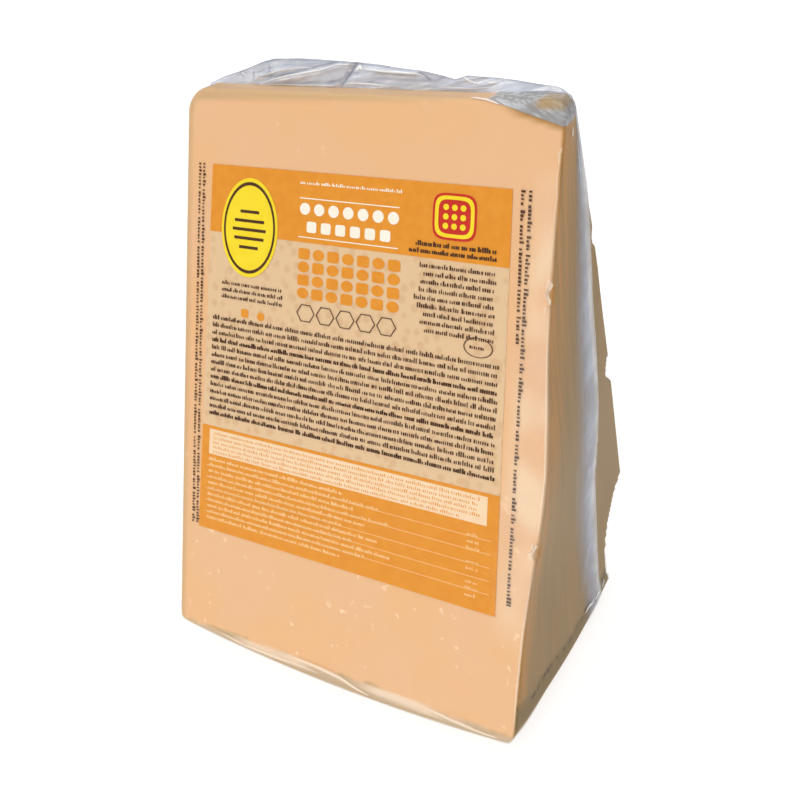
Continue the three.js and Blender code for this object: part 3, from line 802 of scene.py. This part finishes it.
crest_x, crest_depth = np.array(EAR_CREST).T
ear_x = np.linspace(crest_x[0], crest_x[-1], EAR_COLUMNS + 1)
ear_top = np.interp(ear_x, crest_x, crest_depth)
ear_top = np.pad(ear_top, EAR_EVENED // 2, mode="edge")
ear_top = np.convolve(ear_top, np.ones(EAR_EVENED) / EAR_EVENED, mode="valid")
rise = np.linspace(0, 1, EAR_ROWS + 1)
along = (ear_x - ear_x[0]) / (ear_x[-1] - ear_x[0])
lean = EAR_LEAN + sum(size * np.sin(along * turns + start) for size, turns, start in EAR_WAVES)
ear_root = np.maximum(TIP_DEPTH + EAR_ROOT, ear_top + EAR_LEAST)
ear_y = TIP_DEPTH * math.tan(HALF_ANGLE) - EAR_FROM_EDGE + np.outer(lean, rise ** EAR_CURL)
ear_depth = ear_root[:, None] - np.outer(ear_root - ear_top, rise)
ear_points = np.column_stack([np.repeat(ear_x, EAR_ROWS + 1), ear_y.ravel(), ear_depth.ravel()])


def ridge(points, start, end, height, width):
    """A raised crease along a line from start to end, each an x and a depth."""
    start, along = np.array(start), np.array(end) - np.array(start)
    flat = points[:, [0, 2]] - start
    share = np.clip(flat @ along / (along @ along), 0, 1)
    off = np.linalg.norm(flat - share[:, None] * along, axis=1)
    return height * np.exp(-((off / width) ** 2)) * np.sin(np.pi * np.clip(share, 0.02, 0.98)) ** 0.3


def streaks(points, long_mm, wide_mm, tilt, depth, seed):
    """Folds much longer than they are wide, tilted by that many degrees from level."""
    cos, sin = math.cos(math.radians(tilt)), math.sin(math.radians(tilt))
    x, y, down = points.T
    turned = np.column_stack([(x * cos - down * sin) / long_mm, y * 0, (x * sin + down * cos) / wide_mm])
    return depth * (1 - 2 * np.abs(grown(turned, 1.0, 1.0, seed))) ** 3


# Folds in the fin: start, end, height towards the front, and width. The last is a twist that
# falls back.
EAR_CREASES = (((-38.5, 18.4), (-17.0, 14.3), 0.8, 0.9), ((-17.0, 14.3), (-7.0, 12.4), 0.7, 0.8),
               ((-2.8, 13.7), (15.0, 14.3), 0.8, 0.8), ((-40.3, 16.1), (-23.9, 13.5), 0.5, 0.8),
               ((-5.3, 12.2), (-10.0, 18.0), -0.9, 0.7))
shaken = streaks(ear_points, long_mm=22, wide_mm=3.2, tilt=10, depth=0.35, seed=3)
for crease in EAR_CREASES:
    shaken += ridge(ear_points, *crease)

# Painted shade in lines along the fin's folds: start, end, darkness and width.
EAR_SHADES = (((-33.0, 16.3), (-24.1, 14.3), 0.8, 0.35), ((-24.1, 14.3), (-11.4, 11.9), 0.9, 0.35),
              ((-5.0, 12.2), (-10.0, 18.2), 1.0, 0.45), ((15.0, 13.9), (18.8, 15.9), 0.9, 0.3),
              ((-2.4, 15.9), (21.6, 16.1), 0.5, 0.35), ((-2.8, 14.2), (14.6, 14.8), 0.5, 0.25),
              ((-41.7, 14.8), (-41.3, 17.0), 0.7, 0.3), ((-35.4, 12.8), (-34.4, 16.2), 0.6, 0.3),
              ((-46.8, 15.0), (-45.4, 16.8), 0.6, 0.3), ((-33.0, 17.9), (-12.0, 17.4), 0.4, 0.4),
              ((-30.0, 13.0), (-16.0, 12.2), 0.4, 0.3), ((-6.0, 17.0), (22.0, 17.6), 0.4, 0.3))
EDGE_SHADE, EDGE_RISE = 0.7, (0.88, 1.0)
shade = sum(ridge(ear_points, *line) for line in EAR_SHADES)
shade += EDGE_SHADE * np.tile(smooth(*EDGE_RISE, rise), EAR_COLUMNS + 1)
ear_points[:, 1] -= shaken
ear_faces = []
for i in range(EAR_COLUMNS):
    for j in range(EAR_ROWS):
        a = i * (EAR_ROWS + 1) + j
        ear_faces.append((a, a + EAR_ROWS + 1, a + EAR_ROWS + 2, a + 1))

# Gathered film: grey, glossy and hardly see-through, with soft clouds and fine creases that rise
# gently to the right, painted as streaks of dark shade and white highlight. Painted shade also
# lies along its folds and top edge.
gathered, tree, place = new_material("gathered_vacuum_film")
CREASE_TILT, CREASE_SCALE, CREASE_MM, SEAL_CLOUD_MM, OPACITY = -10, (9, 1, 1), 1.2, 9, 0.82
patches = ramp(tree, noise_at(tree, place, SEAL_CLOUD_MM, 3, 0.6), 0.35, 0.7)
creases = noise_at(tree, drawn_place(tree, place, CREASE_TILT, CREASE_SCALE), CREASE_MM, 3, 0.6)
tone = blend_colour(tree, patches, "#CDD1DC", "#E2E5EC")
tone = blend_colour(tree, ramp(tree, creases, 0.45, 0.30), tone, "#AEB2BD")
tone = blend_colour(tree, ramp(tree, creases, 0.56, 0.68), tone, "#FAFBFD")
tone = blend_colour(tree, painted(tree, "shade"), tone, "#8D93A1")
grey = add(tree, "BsdfPrincipled", {"Base Color": tone, "Roughness": 0.2, "IOR": 1.5})
clear = add(tree, "BsdfTransparent", {"Color": linear("#F6F7FA")})
end_in(tree, add(tree, "MixShader", {0: OPACITY, 1: clear.outputs[0], 2: grey.outputs[0]}))
ear = make_piece("film_gathered_seal", ear_points, ear_faces, gathered)
paint(ear, "shade", np.clip(shade, 0, 1))
SEAL_THICK = 0.2
layers = ear.modifiers.new("layers", "SOLIDIFY")
layers.thickness = SEAL_THICK / 1000


# ---- Pleats in the film ---------------------------------------------------------------------
# Small tucks where the bag's film has nowhere to go as it is drawn tight: along the foot, at the
# cut's edges and chips, over the broken tip and in the fin. Each is a doubled ridge, painted
# white as a highlight and glint.

film_surface = BVHTree.FromPolygons(bag_points.tolist(), wedge_quads)
ear_surface = BVHTree.FromPolygons(ear_points.tolist(), ear_faces)
ON_FRONT, ON_CUT, ON_EAR = "front", "cut", "ear"

# By where they run, each with its points, width, height and how white its painted highlight is.
# Points are x and depth on the front and the fin, y and depth on the cut.
PLEATS = {
    ON_FRONT: (
        (((-44, 187.6), (-34.2, 188.8), (-23.8, 189), (-12.9, 188.8), (-4.6, 189)), 1.4, 0.25, 0.6),
        (((-13.7, 186.8), (-3.9, 187.1), (3.8, 187.9), (9.5, 189.4), (14.6, 190.2)), 1.5, 0.3, 0.75),
        (((34, 187.2), (42.9, 188.1), (49.6, 188.4), (54.5, 188.6), (58.3, 188.4)), 1.3, 0.25, 0.7),
        (((34.5, 16.8), (36.3, 17.2), (39.6, 18.3), (42.9, 19.4)), 0.7, 0.25, 0.75),
        (((60.9, 28.6), (60.3, 30.4), (60.6, 32.6)), 1.0, 0.2, 0.35),
        (((60.6, 31.8), (60.2, 36.2), (60.8, 40), (60.6, 44), (60.9, 49)), 0.5, 0.15, 0.4),
        (((60.6, 59.8), (61, 61.4), (60.7, 63.2), (61, 65)), 2.0, 0.2, 0.5),
        (((61.5, 60.6), (61.9, 61.8), (61.4, 63)), 1.0, 0.25, 0.8),
        (((61.2, 63.6), (61.8, 64.8), (61.5, 66.2)), 1.2, 0.25, 0.8),
        (((60.7, 66.4), (60.5, 69)), 0.9, 0.15, 0.4),
        (((61.5, 67), (62.2, 80), (63.7, 95), (64.9, 110), (64.7, 125)), 0.8, 0.05, 0.5),
        (((63.2, 128.8), (63.6, 130.4), (63, 132.2), (63.4, 134)), 1.8, 0.2, 0.55),
        (((64.3, 128.8), (64.5, 130.6), (64, 132)), 1.0, 0.2, 0.75),
        (((63.9, 138), (63, 155), (62.9, 170), (63.1, 184)), 0.8, 0.05, 0.5)),
    ON_CUT: (
        (((-0.4, 25.6), (-1.4, 27.8)), 0.9, 0.35, 0.6),
        (((3.5, 30), (5.2, 38), (6.6, 46)), 0.35, 0.2, 0.4),
        (((12, 60), (12.6, 75), (14.4, 91), (15.5, 111), (15.3, 125)), 0.4, 0.2, 0.5),
        (((13.8, 140), (15.8, 155), (17.1, 171)), 0.4, 0.2, 0.5),
        (((14.8, 187.2), (17, 186.4), (19.8, 187)), 1.5, 0.35, 0.9),
        (((5, 185.6), (8.4, 185.2), (11.6, 186.4), (14, 185.8)), 1.5, 0.3, 0.85),
        (((21.6, 187.2), (23.6, 185)), 1.2, 0.3, 0.7)),
    ON_EAR: (
        (((-38.5, 18.4), (-33.4, 16.9), (-27.8, 15.7), (-17, 14.1), (-12.4, 12.9), (-10.6, 12.4),
          (-6, 12.5)), 0.75, 0.25, 0.85),
        (((-40.3, 16.1), (-35.7, 15.6), (-31.2, 14.3), (-23.9, 13.5), (-19.7, 13.6)), 0.9, 0.2, 0.6),
        (((-38.5, 18.6), (-31.8, 18.3), (-24.7, 18.4), (-10, 18.2)), 0.7, 0.2, 0.7),
        (((-2.8, 13.7), (3, 13.9), (9.4, 14), (15, 14.3), (17.2, 15.2)), 0.8, 0.25, 0.85),
        (((-8.6, 17.7), (-6.6, 17.4), (-2.3, 17.5), (4.6, 17.7)), 0.7, 0.2, 0.8),
        (((-5.2, 14.1), (-4.2, 13.2), (-3.3, 13.8)), 1.4, 0.3, 0.95),
        (((-46.3, 15.6), (-45.2, 16.2)), 0.9, 0.2, 0.7),
        (((-40.6, 17.2), (-37, 16.9)), 0.6, 0.2, 0.6),
        (((28.4, 15), (31, 16.2), (33, 16.8)), 0.8, 0.25, 0.8),
        (((35.4, 16.4), (38.2, 16.3)), 0.9, 0.25, 0.9),
        (((21.6, 17.6), (30, 17.8), (36, 17.5)), 0.6, 0.2, 0.5))}
PLEAT_STEP, PLEAT_LEAST_STEPS, PLEAT_ACROSS, PLEAT_OFF = 0.5, 8, 6, 0.03

# The fin's surface is found by looking back at it from this y. Where that misses it, the nearest
# spot is taken to a point this much further back.
EAR_SEEN_FROM, EAR_FURTHER_BACK = -20.0, 24


def pleat(where, line, width, height):
    """Points and quads of one tuck that lies on the film or the fin and tapers at both ends."""
    a, b = np.array(line).T
    length = np.concatenate([[0], np.cumsum(np.hypot(np.diff(a), np.diff(b)))])
    count = max(PLEAT_LEAST_STEPS, int(length[-1] / PLEAT_STEP))
    at = np.linspace(0, length[-1], count)
    a, b = np.interp(at, length, a), np.interp(at, length, b)
    if where == ON_FRONT:
        targets = np.column_stack([a, -b * math.tan(HALF_ANGLE), b])
    elif where == ON_CUT:
        targets = np.column_stack([side_reach(1, a, b), a, b])
    else:
        targets = np.column_stack([a, np.full(count, EAR_SEEN_FROM), b])
    tangents = np.gradient(targets, axis=0)
    points = []
    for target, tangent, share in zip(targets, tangents, np.linspace(0, 1, count)):
        if where == ON_EAR:
            spot, normal, _, _ = ear_surface.ray_cast(Vector(target), Vector((0, 1, 0)))
            if spot is None:
                beside = Vector(target) + Vector((0, EAR_FURTHER_BACK, 0))
                spot, normal, _, _ = ear_surface.find_nearest(beside)
        else:
            spot, normal, _, _ = film_surface.find_nearest(Vector(target))
        outward = Vector((0, -1, 0)) if where != ON_CUT else Vector((1, 0, 0))
        if normal.dot(outward) < 0:
            normal = -normal
        across = normal.cross(Vector(tangent)).normalized()
        taper = math.sin(math.pi * (0.04 + 0.92 * share)) ** 0.6
        for k in range(PLEAT_ACROSS + 1):
            u = 2 * k / PLEAT_ACROSS - 1
            lift = PLEAT_OFF + height * taper * (1 - u * u)
            points.append(tuple(spot + across * (u * width / 2 * taper) + normal * lift))
    quads = []
    for i in range(count - 1):
        for k in range(PLEAT_ACROSS):
            start = i * (PLEAT_ACROSS + 1) + k
            quads.append((start, start + 1, start + PLEAT_ACROSS + 2, start + PLEAT_ACROSS + 1))
    return points, quads


# Doubled film, bright and glossy, painted white as a highlight and glint on each tuck: the more
# white is painted, the less it lets through.
highlight_white, tree, place = new_material("film_pleat_highlight")
WHITE_PATCH_MM = 5
patches = ramp(tree, noise_at(tree, place, WHITE_PATCH_MM, 2), 0.3, 0.7)
tone = blend_colour(tree, patches, "#F6F3EE", "#FFFFFF")
tone = blend_colour(tree, painted(tree, "warm"), tone, "#FFE9CC")
bright = add(tree, "BsdfPrincipled", {"Base Color": tone, "Roughness": 0.18, "IOR": 1.5})
clear = add(tree, "BsdfTransparent", {"Color": (1, 1, 1, 1)})
end_in(tree, add(tree, "MixShader", {
    0: painted(tree, "glint_share"), 1: clear.outputs[0], 2: bright.outputs[0]}))

pleat_points, pleat_quads, glint_share = [], [], []
for where, tucks in PLEATS.items():
    for line, width, height, whiteness in tucks:
        points, quads = pleat(where, line, width, height)
        start = len(pleat_points)
        pleat_points += points
        pleat_quads += [tuple(start + k for k in quad) for quad in quads]
        across = np.tile(np.linspace(-1, 1, PLEAT_ACROSS + 1), len(points) // (PLEAT_ACROSS + 1))
        glint_share.append(whiteness * (1 - across ** 4))
pleats = make_piece("film_pleats", pleat_points, pleat_quads, highlight_white)
paint(pleats, "glint_share", np.concatenate(glint_share))

# Those on the front lie on the paste, whose colour their painted highlight takes on.
WARM_SHARE, WARM_DEPTHS, WARM_Y = 0.9, (24, 30), (-2, -6)
_, y, depth = np.array(pleat_points).T
paint(pleats, "warm", WARM_SHARE * smooth(*WARM_DEPTHS, depth) * smooth(*WARM_Y, y))


# ---- Floor, lights and camera ---------------------------------------------------------------
# A white acrylic table lit from beneath, under wide soft lamps, so that hardly a shadow falls.
# None of it is part of the pack.
ground, tree, place = new_material("white_acrylic_table")
TABLE_GLOW, TABLE_CLOUD_MM, FLOOR_HALF = 0.8, 60, 4.0
clouds = ramp(tree, noise_at(tree, place, TABLE_CLOUD_MM, 2), 0.2, 0.8)
end_in(tree, add(tree, "BsdfPrincipled", {
    "Base Color": blend_colour(tree, clouds, "#979797", "#999999"), "Roughness": 0.9,
    "Emission Color": (1, 1, 1, 1), "Emission Strength": TABLE_GLOW}))
floor_mesh = bpy.data.meshes.new("floor")
floor_corners = [(a * FLOOR_HALF, b * FLOOR_HALF, 0) for a, b in ((-1, -1), (1, -1), (1, 1), (-1, 1))]
floor_mesh.from_pydata(floor_corners, [], [(0, 1, 2, 3)])
floor_mesh.materials.append(ground)
floor = bpy.data.objects.new("floor", floor_mesh)
bpy.context.scene.collection.objects.link(floor)

# Grey-blue round the horizon, white overhead.
world = bpy.data.worlds.new("studio")
world.use_nodes = True
sky = world.node_tree
sky.nodes.clear()
towards = add(sky, "TexCoord").outputs["Generated"]
upward = add(sky, "SeparateXYZ", {"Vector": towards}).outputs["Z"]
tone = blend_colour(sky, ramp(sky, upward, -0.1, 0.9), "#D6DDEB", "#FFFFFF")
SKY_LIGHT = 0.28
glow = add(sky, "Background", {"Color": tone, "Strength": SKY_LIGHT})
add(sky, "OutputWorld", {"Surface": glow.outputs[0]})
bpy.context.scene.world = world


def soft_light(name, towards, spread, level, colour):
    """A far, wide lamp: its direction, the degrees it spreads over, and the light it gives."""
    lamp = bpy.data.lights.new(name, "SUN")
    lamp.angle = math.radians(spread)
    lamp.energy = level * math.pi
    lamp.color = linear(colour)[:3]
    holder = bpy.data.objects.new(name, lamp)
    holder.rotation_euler = Vector(towards).to_track_quat("Z", "Y").to_euler()
    bpy.context.scene.collection.objects.link(holder)


soft_light("key", (-0.15, -0.72, 0.68), 30, 0.42, "#FFFDFA")
soft_light("overhead", (-0.10, 0.05, 1.0), 70, 0.58, "#FFFFFF")

# The camera's place in metres and its turn in degrees, as fitted to the photograph.
CAMERA_AT, CAMERA_TURN = (0.153109, -0.237358, 0.235460), (61.5385, 4.6524, 30.1963)
camera = bpy.data.objects.new("camera", bpy.data.cameras.new("camera"))
camera.data.lens = 45
camera.data.sensor_width = 36
camera.location = CAMERA_AT
camera.rotation_euler = Euler([math.radians(a) for a in CAMERA_TURN])
bpy.context.scene.collection.objects.link(camera)
bpy.context.scene.camera = camera
bpy.context.scene.view_settings.view_transform = "Standard"
